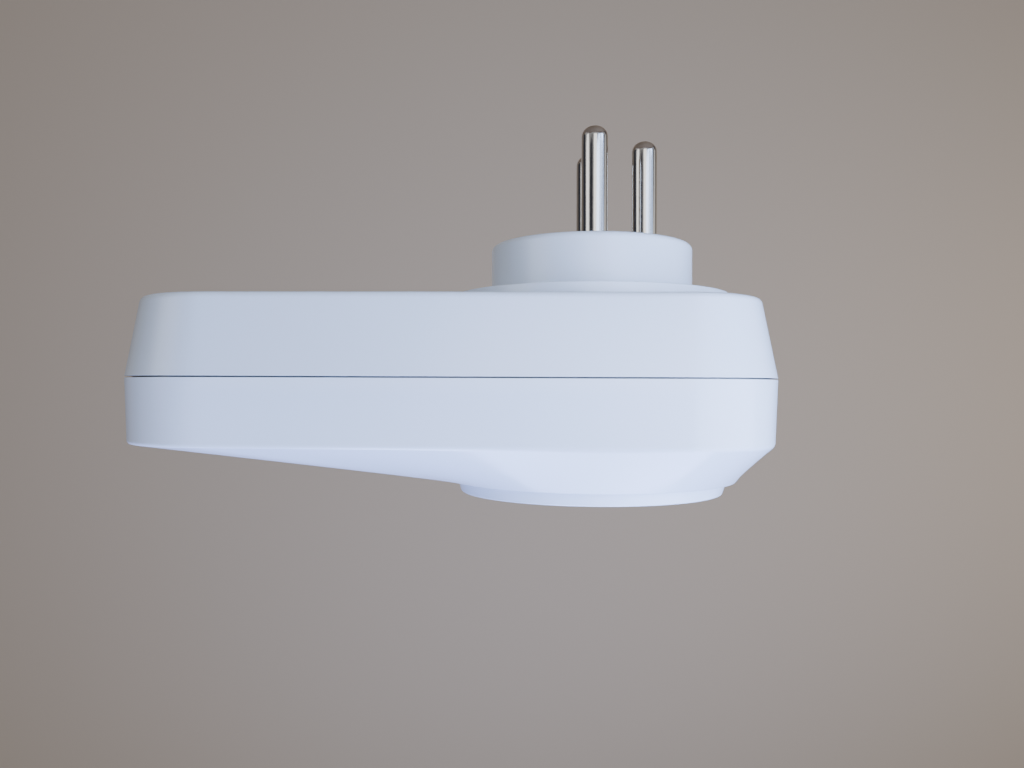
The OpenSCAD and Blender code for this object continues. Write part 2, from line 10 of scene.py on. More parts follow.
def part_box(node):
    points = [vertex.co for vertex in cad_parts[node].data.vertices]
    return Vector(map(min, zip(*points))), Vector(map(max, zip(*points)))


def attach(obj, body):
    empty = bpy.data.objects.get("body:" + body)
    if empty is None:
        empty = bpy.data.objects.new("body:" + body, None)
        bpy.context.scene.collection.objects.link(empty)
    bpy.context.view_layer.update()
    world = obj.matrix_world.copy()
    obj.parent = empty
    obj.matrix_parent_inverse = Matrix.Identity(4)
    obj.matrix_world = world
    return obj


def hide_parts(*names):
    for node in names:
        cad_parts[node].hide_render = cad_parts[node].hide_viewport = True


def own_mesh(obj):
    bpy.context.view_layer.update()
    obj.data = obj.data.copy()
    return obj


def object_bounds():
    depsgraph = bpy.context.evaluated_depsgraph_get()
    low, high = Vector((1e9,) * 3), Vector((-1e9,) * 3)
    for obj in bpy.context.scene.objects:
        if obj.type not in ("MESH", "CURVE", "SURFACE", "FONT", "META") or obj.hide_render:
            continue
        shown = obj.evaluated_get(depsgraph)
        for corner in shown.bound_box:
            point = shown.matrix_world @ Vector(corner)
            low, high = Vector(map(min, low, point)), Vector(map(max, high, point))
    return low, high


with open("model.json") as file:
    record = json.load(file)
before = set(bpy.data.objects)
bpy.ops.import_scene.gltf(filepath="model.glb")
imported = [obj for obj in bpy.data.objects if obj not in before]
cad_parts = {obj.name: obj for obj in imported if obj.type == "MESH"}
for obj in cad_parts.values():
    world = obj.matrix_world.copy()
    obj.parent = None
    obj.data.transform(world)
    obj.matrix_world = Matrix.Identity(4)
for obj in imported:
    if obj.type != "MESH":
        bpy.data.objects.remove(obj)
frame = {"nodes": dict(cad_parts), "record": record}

# Looks of a plug-through smart plug. Everything is in metres, in the CAD model's frame:
# +Y runs along the pins into the wall and +Z up the tail of the case. "Depth" below is
# the distance from the plug face towards the room, which is -Y.

MM = 0.001
cad_low, cad_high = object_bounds()

# ---------- sizes, from the frame where it says them ----------

front_low, front_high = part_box("front_shell")
rear_low, rear_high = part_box("rear_shell")
base_low, base_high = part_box("plug_base")
insert_low, insert_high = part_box("socket_insert")

# The case: its outline, then the depths and edges of its features from the wall side on.
HALF_WIDTH = front_high.x
TAIL = front_high.z
NOSE = -front_low.z
TAIL_CORNER = 17 * MM
NOSE_CORNER = 16 * MM
WALL = 2 * MM
FIT = 0.1 * MM
BACK = -rear_high.y
BACK_INSET = 2.3 * MM
BACK_ROUND = 1 * MM
NOSE_LEAN = 0.3 * MM
SEAM = 23.7 * MM
SEAM_GAP = 0.24 * MM
SEAM_ROUND = 0.06 * MM
CREASE = 34.3 * MM
CREASE_ROUND = 0.6 * MM
LEDGE = -front_low.y
LEDGE_R = 25.3 * MM
LEDGE_ROUND = 0.15 * MM
FRONT_DRAFT = 0.4 * MM
TONGUE_TOP = -rear_low.y
TONGUE_INSET = 1.2 * MM

# The socket's ring, well and pin holes.
RING_DEPTH = -insert_low.y
RING_R = insert_high.x
RING_ROUND = 0.3 * MM
RING_DRAFT = 0.6 * MM
WELL_R = 18.6 * MM
WELL_FLOOR = RING_DEPTH - 8.8 * MM
FLOOR_BACK = WELL_FLOOR - 2.4 * MM
INSERT_R = WELL_R + 2.4 * MM
HOLE_R = 2.5 * MM
HOLE_ROUND = 0.4 * MM

# The plug's boss and pins.
DISC_R = base_high.x
DISC_TOP = BACK - 1.9 * MM
BOSS_R = 17.8 * MM
BOSS_ROUND = 1 * MM
HUB_R = 16.9 * MM
HUB_DEPTH = -base_low.y
CAVITY_R = 15.3 * MM
PIN_HALF_SPACING = (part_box("line_pin")[0].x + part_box("line_pin")[1].x) / 2
EARTH_Z = (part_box("earth_pin")[0].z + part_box("earth_pin")[1].z) / 2
PIN_LENGTH = cad_high.y
PIN_R = 2.25 * MM
PIN_TIP = 1.9 * MM
PIN_ROOT_R = 2.5 * MM

# The button and the status light.
button_low, button_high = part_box("button_cap")
BUTTON_R = 5.3 * MM
BUTTON_Z = (button_low.z + button_high.z) / 2
BUTTON_GAP = 0.2 * MM
BUTTON_PROUD = 0.5 * MM
light_low, light_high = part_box("light_guide")
LIGHT_Z = (light_low.z + light_high.z) / 2
LIGHT_R = 1.5 * MM

# Places (x, z) of what repeats.
PIN_PLACES = {"line": (PIN_HALF_SPACING, 0), "neutral": (-PIN_HALF_SPACING, 0), "earth": (0, EARTH_Z)}
CASE_SCREWS = [(19 * MM, 65 * MM), (-19 * MM, 65 * MM), (20.6 * MM, -18.2 * MM), (-20.6 * MM, -18.2 * MM)]
BOARD_SCREWS = [(21 * MM, 27 * MM), (-21 * MM, 27 * MM), (21 * MM, 57 * MM), (-21 * MM, 57 * MM)]
INSERT_SCREWS = [(0, 12.9 * MM), (8.2 * MM, -9.8 * MM), (-8.2 * MM, -9.8 * MM)]

# Points along the straights and rounds of the outline, and round turned parts and hole edges.
CORNER_STEPS = 24
TAIL_STEPS = 12
SIDE_STEPS = 36
NOSE_STEPS = 14
TURN_STEPS = 96
SMALL_TURN_STEPS = 48
PIN_TURN_STEPS = 64
RIM_STEPS = 5

# The sides that a flat face can look to.
ROOM_SIDE = 1
WALL_SIDE = -1


# ---------- points ----------

def shares(count):
    """Evenly spaced shares between 0 and 1, without the ends."""
    return [i / count for i in range(1, count)]


def quarter_turn(steps):
    """Angles from 0 to a right angle, in even steps."""
    return [math.pi / 2 * i / steps for i in range(steps + 1)]


def outline(inset, lean=0.0):
    """Points (x, z) round the case, inset from its widest outline, always in the same order.

    The nose's end is further in by the lean.
    """
    tail_x, tail_z = HALF_WIDTH - TAIL_CORNER, TAIL - TAIL_CORNER
    nose_x, nose_z = HALF_WIDTH - NOSE_CORNER, NOSE_CORNER - NOSE + lean
    corners = [
        (tail_x, tail_z, TAIL_CORNER, 0, TAIL_STEPS),
        (-tail_x, tail_z, TAIL_CORNER, 90, SIDE_STEPS),
        (-nose_x, nose_z, NOSE_CORNER, 180, NOSE_STEPS),
        (nose_x, nose_z, NOSE_CORNER, 270, SIDE_STEPS),
    ]
    points = []
    gaps = []
    for x, z, radius, start, straight in corners:
        for step in range(CORNER_STEPS + 1):
            angle = math.radians(start + 90 * step / CORNER_STEPS)
            reach = radius - inset
            points.append((x + reach * math.cos(angle), z + reach * math.sin(angle)))
        gaps.append((len(points), straight))
    full = []
    begin = 0
    for end, straight in gaps:
        full += points[begin:end]
        here, there = points[end - 1], points[end % len(points)]
        for share in shares(straight):
            full.append((here[0] + (there[0] - here[0]) * share, here[1] + (there[1] - here[1]) * share))
        begin = end
    return full


def case_ring(inset, depth, lean=0.0):
    """The outline as a ring at a depth."""
    return [Vector((x, -depth, z)) for x, z in outline(inset, lean)]


def room_ring(inset, depth, reach, lean=0.0):
    """A case ring that goes round the near side of anything within reach of a case screw."""
    middle = Vector((0, (TAIL - NOSE) / 2))
    ring = []
    for x, z in outline(inset, lean):
        ray = Vector((x, z)) - middle
        length = ray.length
        ray.normalize()
        for place in CASE_SCREWS:
            to_screw = Vector(place) - middle
            along = to_screw.dot(ray)
            off_line = to_screw.length_squared - along ** 2
            if along > 0 and off_line < reach ** 2:
                length = min(length, along - math.sqrt(reach ** 2 - off_line))
        ring.append(Vector((middle.x + ray.x * length, -depth, middle.y + ray.y * length)))
    return ring


def polar_ring(radius, depth):
    """A circle with one point in the direction of each outline point."""
    ring = []
    for x, z in outline(FRONT_DRAFT):
        length = math.hypot(x, z)
        ring.append(Vector((radius * x / length, -depth, radius * z / length)))
    return ring


def circle(radius, depth, centre=(0, 0), steps=SMALL_TURN_STEPS):
    """A ring of points at a depth, round a centre (x, z)."""
    turn = 2 * math.pi / steps
    return [
        Vector((centre[0] + radius * math.cos(turn * i), -depth, centre[1] + radius * math.sin(turn * i)))
        for i in range(steps)
    ]


def blend_corner(before, corner, after, reach, steps):
    """Rings that round the corner between three rings, starting and ending reach away from it."""
    rings = []
    for step in range(steps + 1):
        s = step / steps
        ring = []
        for a, b, c in zip(before, corner, after):
            start = b + (a - b).normalized() * reach
            end = b + (c - b).normalized() * reach
            ring.append(start * (1 - s) ** 2 + b * (2 * s * (1 - s)) + end * s ** 2)
        rings.append(ring)
    return rings


def between(first, last, count):
    """Rings that part the way from the first ring to the last in a count of even steps."""
    return [[a.lerp(b, share) for a, b in zip(first, last)] for share in shares(count)]


def within(point, walls):
    """Whether a flat point is between an outer loop and its holes, all given as line segments."""
    crossings = 0
    for a, b in walls:
        if (a.y > point.y) != (b.y > point.y):
            crossings += point.x < a.x + (b.x - a.x) * (point.y - a.y) / (b.y - a.y)
    return crossings % 2 == 1


# ---------- surfaces ----------

class Shell:
    """A closed surface made of rings of points, bridged together, and fills between loops."""

    def __init__(self):
        self.mesh = bmesh.new()

    def ring(self, points):
        """Makes a ring of vertices from points."""
        return [self.mesh.verts.new(p) for p in points]

    def bridge(self, first, last):
        """Joins two made rings with quads."""
        count = len(first)
        for i in range(count):
            j = (i + 1) % count
            self.mesh.faces.new((first[i], first[j], last[j], last[i]))

    def chain(self, rings, start=None):
        """Bridges point rings one after the other, from the made ring start where there is one.

        Returns the first and the last made ring.
        """
        made = [start] if start else []
        made += [self.ring(points) for points in rings]
        for first, last in zip(made, made[1:]):
            self.bridge(first, last)
        return made[0], made[-1]

    def cap(self, ring):
        """Closes a ring with a fan round its middle."""
        middle = self.mesh.verts.new(sum((v.co for v in ring), Vector()) / len(ring))
        for i, vert in enumerate(ring):
            self.mesh.faces.new((vert, ring[(i + 1) % len(ring)], middle))

    def solid(self, rings):
        """Bridges point rings one after the other and closes both ends."""
        for end in self.chain(rings):
            self.cap(end)

    def post(self, foot, radius, end, pilot_r, pilot_end, place):
        """A round post with a blind screw hole in its end. Returns its made foot ring."""
        made = self.chain([foot, circle(radius, end, place), circle(pilot_r, end, place),
                           circle(pilot_r, pilot_end, place)])
        self.cap(made[1])
        return made[0]

    def fill(self, loops, inside=()):
        """Triangles between an outer loop and holes, seen along Y, using the points inside as well.

        The triangulation can close a hole, so only triangles that are within the walls are kept.
        """
        verts, edges = [], []
        for loop in loops:
            first = len(verts)
            verts += loop
            edges += [(first + i, first + (i + 1) % len(loop)) for i in range(len(loop))]
        verts += [self.mesh.verts.new(p) for p in inside]
        flat = [Vector((v.co.x / MM, v.co.z / MM)) for v in verts]
        walls = [(flat[i], flat[j]) for i, j in edges]
        result = geometry.delaunay_2d_cdt(flat, edges, [], 0, 1e-7)
        origin = [where[0] for where in result[3]]
        for face in result[2]:
            corners = [origin[i] for i in face]
            if within(sum((flat[i] for i in corners), Vector((0, 0))) / 3, walls):
                self.mesh.faces.new([verts[i] for i in corners])

    def piece(self, name, nodes, slot, body="case", sharp=35):
        """Turns the surface into an object that stands for CAD nodes, smooth but for sharp edges."""
        bmesh.ops.recalc_face_normals(self.mesh, faces=self.mesh.faces)
        data = bpy.data.meshes.new(name)
        self.mesh.to_mesh(data)
        self.mesh.free()
        data.shade_smooth()
        data.set_sharp_from_angle(angle=math.radians(sharp))
        thing = bpy.data.objects.new(name, data)
        bpy.context.collection.objects.link(thing)
        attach(thing, body)
        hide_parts(*nodes)
        thing.data.materials.append(materials[slot])
        even = thing.modifiers.new("even_normals", "WEIGHTED_NORMAL")
        even.keep_sharp = True
        return thing


def flat_depth(depth):
    """A surface function for a flat face."""
    return lambda x, z: depth


def laid_on(surface, radius, centre, lift=0.0):
    """A circle laid on a surface, where surface(x, z) is its depth, and lifted off it."""
    flat = circle(radius, 0, centre)
    return [Vector((p.x, -(surface(p.x, p.z) + lift), p.z)) for p in flat]


def rim(radius, rounding, centre, surface, facing=ROOM_SIDE):
    """Rings of a rounded hole edge that starts on a surface facing the room or the wall."""
    rings = []
    for angle in quarter_turn(RIM_STEPS):
        reach = radius + rounding * (1 - math.sin(angle))
        sink = rounding * (1 - math.cos(angle))
        rings.append(laid_on(surface, reach, centre, -sink * facing))
    return rings


def turned(profile, centre=(0, 0), steps=TURN_STEPS):
    """Rings of a turned part, one for each (radius, depth) of its profile."""
    return [circle(radius, depth, centre, steps) for radius, depth in profile]


def rounded(radius, depth, rounding, from_axis, steps):
    """Profile points of an outer edge of a turned part, whose flat end is at that depth.

    from_axis is 1 where the profile comes from the flat end and goes to the side, and -1 the other
    way. A positive rounding goes deeper from the flat end to the side, a negative one shallower.
    """
    points = []
    for angle in quarter_turn(steps):
        points.append((radius - abs(rounding) * (1 - math.sin(angle)),
                       depth + rounding * (1 - math.cos(angle))))
    return points if from_axis > 0 else points[::-1]


class Sloping:
    """The sloping front between the crease and the ledge, as rings and as a depth at any x, z."""

    def __init__(self, outer, inner, steps):
        self.rings = [outer] + between(outer, inner, steps) + [inner]
        points = [p for ring in self.rings for p in ring]
        count = len(outer)
        quads = [
            (k + i, k + (i + 1) % count, k + count + (i + 1) % count, k + count + i)
            for k in range(0, (len(self.rings) - 1) * count, count)
            for i in range(count)
        ]
        self.tree = BVHTree.FromPolygons(points, quads)

    def depth(self, x, z):
        """The depth of the front at x, z."""
        in_the_room = Vector((x, -2 * RING_DEPTH, z))
        hit = self.tree.ray_cast(in_the_room, Vector((0, 1, 0)))[0]
        return -hit.y

    def slope(self, x, z):
        """The depth on the middle line, so that what is laid on it isn't curved from side to side."""
        return self.depth(0, z)

    def points(self, holes, margin):
        """The inner rings' points, without those within the margin of a hole's (centre, radius)."""
        kept = []
        for ring in self.rings[1:-1]:
            for p in ring:
                if all(math.hypot(p.x - c[0], p.z - c[1]) > r + margin for c, r in holes):
                    kept.append(p)
        return kept


# ---------- materials ----------

WHITE = (0.70, 0.78, 0.90)
EDGE_POINTINESS = (0.52, 0.62)  # where an edge starts to be paler, and where it is palest
# Painted shade: a near-black colour laid over the finish in narrow gaps, seams and crevices, as far as an
# ambient-occlusion test finds them closed in, standing in for the shade there.
GAP_SHADE = (0.03, 0.03, 0.035)
GAP_SHADE_REACH = 0.6 * MM
GAP_SHADE_OPENNESS = (0.15, 0.6)  # how open a gap is where the painted shade is darkest, and where there is none
GAP_SHADE_SAMPLES = 8


def node(tree, kind, **values):
    """A shader node with some of its inputs and properties set."""
    made = tree.nodes.new(kind)
    for key, value in values.items():
        if key in made.inputs:
            made.inputs[key].default_value = value
        else:
            setattr(made, key, value)
    return made


def map_range(tree, value, low, high, to_low, to_high):
    """A value socket mapped from one range to another, and kept within it."""
    made = node(tree, "ShaderNodeMapRange")
    limits = {"From Min": low, "From Max": high, "To Min": to_low, "To Max": to_high}
    for key, limit in limits.items():
        made.inputs[key].default_value = limit
    tree.links.new(value, made.inputs["Value"])
    return made.outputs["Result"]


def over(tree, under, color, share):
    """A colour socket with a plain colour over it, as much as a share socket says."""
    made = node(tree, "ShaderNodeMix", data_type="RGBA")
    made.inputs["B"].default_value = (*color, 1)
    tree.links.new(share, made.inputs["Factor"])
    tree.links.new(under, made.inputs["A"])
    return made.outputs["Result"]


def finish(name, color, roughness, metallic=0.0, mottle=0.06, mottle_size=4 * MM, grain_size=0.2 * MM,
           grain=0.05, wear=0.1, gap_shade=0.0, stretch=(1, 1, 1), **shader):
    """A procedural finish: mottled colour, uneven roughness, a fine grain, paler worn edges and
    painted shade in narrow gaps."""
    made = bpy.data.materials.new(name)
    made.use_nodes = True
    tree = made.node_tree
    link = tree.links.new
    principled = tree.nodes["Principled BSDF"]
    principled.inputs["Metallic"].default_value = metallic
    for key, value in shader.items():
        principled.inputs[key.replace("_", " ")].default_value = value

    place = node(tree, "ShaderNodeTexCoord")
    spread = node(tree, "ShaderNodeMapping")
    spread.inputs["Scale"].default_value = stretch
    link(place.outputs["Object"], spread.inputs["Vector"])

    broad = node(tree, "ShaderNodeTexNoise", Scale=1 / mottle_size, Detail=4.0, Roughness=0.55)
    fine = node(tree, "ShaderNodeTexNoise", Scale=1 / grain_size, Detail=3.0, Roughness=0.6)
    link(spread.outputs["Vector"], broad.inputs["Vector"])
    link(spread.outputs["Vector"], fine.inputs["Vector"])

    tint = node(tree, "ShaderNodeMix", data_type="RGBA")
    dark = [c * (1 - mottle) for c in color]
    light = [min(c * (1 + mottle * 0.5), 1) for c in color]
    tint.inputs["A"].default_value = (*dark, 1)
    tint.inputs["B"].default_value = (*light, 1)
    link(broad.outputs["Fac"], tint.inputs["Factor"])

    shape = node(tree, "ShaderNodeNewGeometry")
    edge = map_range(tree, shape.outputs["Pointiness"], *EDGE_POINTINESS, 0, wear)
    pale = [c + (1 - c) * 0.5 for c in color]
    base = over(tree, tint.outputs["Result"], pale, edge)
    # Painted shade: the colour goes towards near black where the ambient-occlusion test finds a narrow gap
    # or crevice.
    if gap_shade:
        shade_ao = node(tree, "ShaderNodeAmbientOcclusion", Distance=GAP_SHADE_REACH, samples=GAP_SHADE_SAMPLES)
        shade_share = map_range(tree, shade_ao.outputs["AO"], *GAP_SHADE_OPENNESS, gap_shade, 0)
        base = over(tree, base, GAP_SHADE, shade_share)
    link(base, principled.inputs["Base Color"])

    gloss = map_range(tree, broad.outputs["Fac"], 0, 1, roughness * 0.85, roughness * 1.15)
    link(gloss, principled.inputs["Roughness"])

    bump = node(tree, "ShaderNodeBump", Strength=grain, Distance=grain_size)
    link(fine.outputs["Fac"], bump.inputs["Height"])
    link(bump.outputs["Normal"], principled.inputs["Normal"])
    return made


materials = {
    # The case and button plastics get painted shade, nearly black, in their seams and narrow gaps.
    "case_plastic": finish("case_plastic", WHITE, 0.2, mottle=0.015, mottle_size=9 * MM,
                           grain_size=0.16 * MM, grain=0.03, wear=0.25, gap_shade=0.95,
                           Specular_IOR_Level=0.6),
    "button_plastic": finish("button_plastic", (0.79, 0.805, 0.84), 0.3, mottle=0.015,
                             grain_size=0.12 * MM, grain=0.02, wear=0.25, gap_shade=0.95),
    "nickel_plate": finish("nickel_plate", (0.74, 0.72, 0.68), 0.14, metallic=1.0, mottle=0.08,
                           mottle_size=1.5 * MM, grain_size=0.12 * MM, grain=0.03, stretch=(1, 0.08, 1)),
    "zinc_steel": finish("zinc_steel", (0.55, 0.56, 0.58), 0.32, metallic=1.0, mottle=0.15,
                         mottle_size=0.8 * MM, grain=0.08),
    "contact_brass": finish("contact_brass", (0.78, 0.58, 0.27), 0.28, metallic=1.0, mottle=0.15,
                            mottle_size=1.5 * MM, grain=0.05),
    "soft_iron": finish("soft_iron", (0.42, 0.42, 0.43), 0.42, metallic=1.0, mottle=0.2, grain=0.1),
    "spring_steel": finish("spring_steel", (0.55, 0.55, 0.56), 0.25, metallic=1.0, mottle=0.1),
    "shield_tin": finish("shield_tin", (0.68, 0.69, 0.70), 0.3, metallic=1.0, mottle=0.1, grain=0.05),
    "black_nylon": finish("black_nylon", (0.03, 0.03, 0.033), 0.55, mottle=0.3, grain=0.15),
    "shutter_plastic": finish("shutter_plastic", (0.50, 0.51, 0.53), 0.5, mottle=0.05, grain=0.08),
    "board_laminate": finish("board_laminate", (0.03, 0.20, 0.09), 0.35, mottle=0.25, grain=0.1,
                             grain_size=0.5 * MM),
    "radio_laminate": finish("radio_laminate", (0.02, 0.04, 0.16), 0.35, mottle=0.2, grain=0.1),
    "relay_plastic": finish("relay_plastic", (0.03, 0.09, 0.32), 0.25, mottle=0.06, grain=0.02),
    "coil_winding": finish("coil_winding", (0.35, 0.12, 0.05), 0.35, mottle=0.3, grain=0.3,
                           stretch=(0.2, 8, 0.2)),
    "capacitor_box": finish("capacitor_box", (0.62, 0.44, 0.05), 0.3, mottle=0.06, grain=0.03),
    "capacitor_can": finish("capacitor_can", (0.02, 0.03, 0.04), 0.3, mottle=0.1, grain=0.03),
    "varistor_coat": finish("varistor_coat", (0.05, 0.12, 0.32), 0.5, mottle=0.15, grain=0.2),
    "fuse_case": finish("fuse_case", (0.14, 0.06, 0.03), 0.45, mottle=0.1, grain=0.1),
    "ferrite": finish("ferrite", (0.06, 0.06, 0.065), 0.6, mottle=0.3, grain=0.2),
    "chip_resin": finish("chip_resin", (0.02, 0.02, 0.022), 0.55, mottle=0.2, grain=0.15),
    "switch_plastic": finish("switch_plastic", (0.05, 0.05, 0.055), 0.5, mottle=0.15, grain=0.1),
    "led_body": finish("led_body", (0.85, 0.80, 0.50), 0.3, mottle=0.05),
    "clear_plastic": finish("clear_plastic", (0.75, 0.80, 0.85), 0.12, mottle=0.02, grain=0.02,
                            wear=0.05, Transmission_Weight=0.7),
}


# ---------- case ----------

def front_cover():
    """Room-side shell: straight wall, rounded crease, sloping front, ledge and the inside."""
    shell = Shell()
    seam_face = SEAM + SEAM_GAP / 2
    seam_edge = blend_corner(case_ring(SEAM_ROUND * 2, seam_face), case_ring(0, seam_face),
                             case_ring(0, CREASE), SEAM_ROUND, 3)
    crease = case_ring(FRONT_DRAFT, CREASE)
    top = polar_ring(LEDGE_R, LEDGE)
    crease_edge = blend_corner(seam_edge[-1], crease, top, CREASE_ROUND, 8)
    wall = between(seam_edge[-1], crease_edge[0], 4)
    ledge_edge = blend_corner(crease, top, polar_ring(INSERT_R, LEDGE), LEDGE_ROUND, 4)
    front = Sloping(crease_edge[-1], ledge_edge[0], 16)
    front_margin, inner_margin = 0.7 * MM, 0.8 * MM
    button_at, button_r, button_round = (0, BUTTON_Z), BUTTON_R + BUTTON_GAP, 0.3 * MM
    light_at, light_r, light_round = (0, LIGHT_Z), LIGHT_R + FIT, 0.15 * MM

    rise = shell.chain(seam_edge + wall + crease_edge)
    button_hole = shell.chain(rim(button_r, button_round, button_at, front.depth))
    light_hole = shell.chain(rim(light_r, light_round, light_at, front.depth))
    mouth = INSERT_R + FIT * 2
    ledge = shell.chain(ledge_edge + [polar_ring(mouth, LEDGE)])
    holes = [(button_at, button_r + button_round), (light_at, light_r + light_round)]
    shell.fill([rise[1], ledge[0], button_hole[0], light_hole[0]], front.points(holes, front_margin))

    inner_crease = case_ring(WALL + FRONT_DRAFT, CREASE - WALL * 0.9)
    inner_top = polar_ring(LEDGE_R - WALL, LEDGE - WALL)
    inner = Sloping(inner_crease, inner_top, 8)
    groove = TONGUE_TOP + FIT
    inside = shell.chain(
        [case_ring(TONGUE_INSET - FIT, seam_face), case_ring(TONGUE_INSET - FIT, groove),
         case_ring(WALL, groove), inner_crease],
        start=rise[0],
    )
    inner_ledge = shell.chain([polar_ring(mouth, LEDGE - WALL), inner_top], start=ledge[1])

    collar_in, collar_out, collar_low, ceiling = 6.8 * MM, 8 * MM, 31.6 * MM, 35 * MM
    collar = shell.chain(
        [circle(button_r, ceiling, button_at), circle(collar_in, ceiling, button_at),
         circle(collar_in, collar_low, button_at), circle(collar_out, collar_low, button_at),
         laid_on(inner.depth, collar_out, button_at)],
        start=button_hole[1],
    )
    tunnel = shell.chain([laid_on(inner.depth, light_r, light_at)], start=light_hole[1])
    boss_r, boss_low, pilot_r, pilot_top = 3.4 * MM, 23.1 * MM, 1.2 * MM, 30.5 * MM
    loops = [inside[1], inner_ledge[1], collar[1], tunnel[1]]
    for place in CASE_SCREWS:
        foot = laid_on(inner.depth, boss_r, place)
        loops.append(shell.post(foot, boss_r, boss_low, pilot_r, pilot_top, place))
    taken = [(place, boss_r) for place in CASE_SCREWS] + [(button_at, collar_out), (light_at, light_r)]
    shell.fill(loops, inner.points(taken, inner_margin))
    shell.piece("front_cover", ["front_shell"], "case_plastic")
    return front


def rear_cover():
    """Wall-side shell: tapering wall, rounded edge, flat back with sunk screw holes, and the inside."""
    shell = Shell()
    seam_face = SEAM - SEAM_GAP / 2
    back_corner = case_ring(BACK_INSET, BACK, NOSE_LEAN)
    hub = HUB_R + FIT / 2
    seam_edge = blend_corner(case_ring(SEAM_ROUND * 2, seam_face), case_ring(0, seam_face),
                             back_corner, SEAM_ROUND, 3)
    back_face = case_ring(BACK_INSET * 2, BACK, NOSE_LEAN)
    back_edge = blend_corner(seam_edge[-1], back_corner, back_face, BACK_ROUND, 8)
    wall = between(seam_edge[-1], back_edge[0], 5)
    rise = shell.chain(seam_edge + wall + back_edge)

    floor = BACK + WALL
    head_r, head_round, seat, shank_r = 2.7 * MM, 0.25 * MM, 15 * MM, 1.55 * MM
    sleeve_r, sleeve_top = 4 * MM, 23 * MM
    standoff_r, standoff_top, pilot_r = 2.6 * MM, 16 * MM, 0.9 * MM
    outer_loops, sleeve_loops, inner_loops = [rise[1]], [], []
    for place in CASE_SCREWS:
        edge = rim(head_r, head_round, place, flat_depth(BACK), WALL_SIDE)
        sleeve = shell.chain(edge + [circle(head_r, seat, place), circle(shank_r, seat, place),
                                     circle(shank_r, sleeve_top, place)])
        outer_loops.append(sleeve[0])
        sleeve_loops.append(sleeve[1])
    for place in BOARD_SCREWS:
        foot = circle(standoff_r, floor, place)
        inner_loops.append(shell.post(foot, standoff_r, standoff_top, pilot_r, floor, place))
    opening = shell.chain([circle(hub, BACK, steps=TURN_STEPS), circle(hub, floor, steps=TURN_STEPS)])
    tongue = shell.chain(
        [case_ring(TONGUE_INSET, seam_face), case_ring(TONGUE_INSET, TONGUE_TOP),
         case_ring(WALL, TONGUE_TOP), case_ring(WALL, sleeve_top)],
        start=rise[0],
    )
    room = shell.chain([room_ring(WALL * 1.3, sleeve_top, sleeve_r),
                        room_ring(WALL + BACK_INSET, floor, sleeve_r, NOSE_LEAN)])
    shell.fill(outer_loops + [opening[0]])
    shell.fill([tongue[1], room[0]] + sleeve_loops)
    shell.fill([room[1], opening[1]] + inner_loops)
    shell.piece("rear_cover", ["rear_shell"], "case_plastic")


def boss():
    """Plug boss with the low disc round its foot, and a hub inside the rear shell."""
    shell = Shell()
    foot, disc_edge = 0.05 * MM, 0.2 * MM
    hole_r, hole_round = PIN_ROOT_R + FIT / 2, 0.15 * MM
    floor = 4 * MM
    profile = rounded(BOSS_R, 0, BOSS_ROUND, 1, 8)
    profile += [(BOSS_R, DISC_TOP * 0.5), (BOSS_R, DISC_TOP - foot),
                (BOSS_R + foot * 0.3, DISC_TOP - foot * 0.3), (BOSS_R + foot, DISC_TOP),
                (BOSS_R + 2 * MM, DISC_TOP)]
    profile += rounded(DISC_R, DISC_TOP, disc_edge, 1, 4)
    profile += [(DISC_R, BACK), (HUB_R, BACK), (HUB_R, HUB_DEPTH), (CAVITY_R, HUB_DEPTH),
                (CAVITY_R, floor)]
    skin = shell.chain(turned(profile))
    faces, backs = [skin[0]], [skin[1]]
    for place in PIN_PLACES.values():
        edge = rim(hole_r, hole_round, place, flat_depth(0), WALL_SIDE)
        hole = shell.chain(edge + [circle(hole_r, floor, place)])
        faces.append(hole[0])
        backs.append(hole[1])
    shell.fill(faces)
    shell.fill(backs)
    shell.piece("plug_boss", ["plug_base"], "case_plastic")


def pin(name, place):
    """A round pin, with a rounded tip, a shoulder at the plug face and its flange and tail inside."""
    shell = Shell()
    flange_r, flange_low, flange_top = 3.6 * MM, 3 * MM, 4.6 * MM
    neck_r, tail_r, tail_end_r, tail_low, tail_top = 1.5 * MM, 2.2 * MM, 2 * MM, 7 * MM, 7.3 * MM
    tip = [
        (PIN_R - PIN_TIP * (1 - math.sin(angle)), -PIN_LENGTH + PIN_TIP * (1 - math.cos(angle)))
        for angle in quarter_turn(14)
    ]
    body = [(PIN_R, -PIN_LENGTH * share) for share in (0.8, 0.6, 0.4, 0.2, 0.01)]
    inside = [(PIN_ROOT_R, 0), (PIN_ROOT_R, flange_low), (flange_r, flange_low),
              (flange_r, flange_top), (neck_r, flange_top), (neck_r, tail_low),
              (tail_r, tail_low), (tail_end_r, tail_top)]
    shell.solid(turned(tip + body + [(PIN_R, 0)] + inside, place, PIN_TURN_STEPS))
    shell.piece(name + "_prong", [name + "_pin"], "nickel_plate")


# ---------- socket ----------

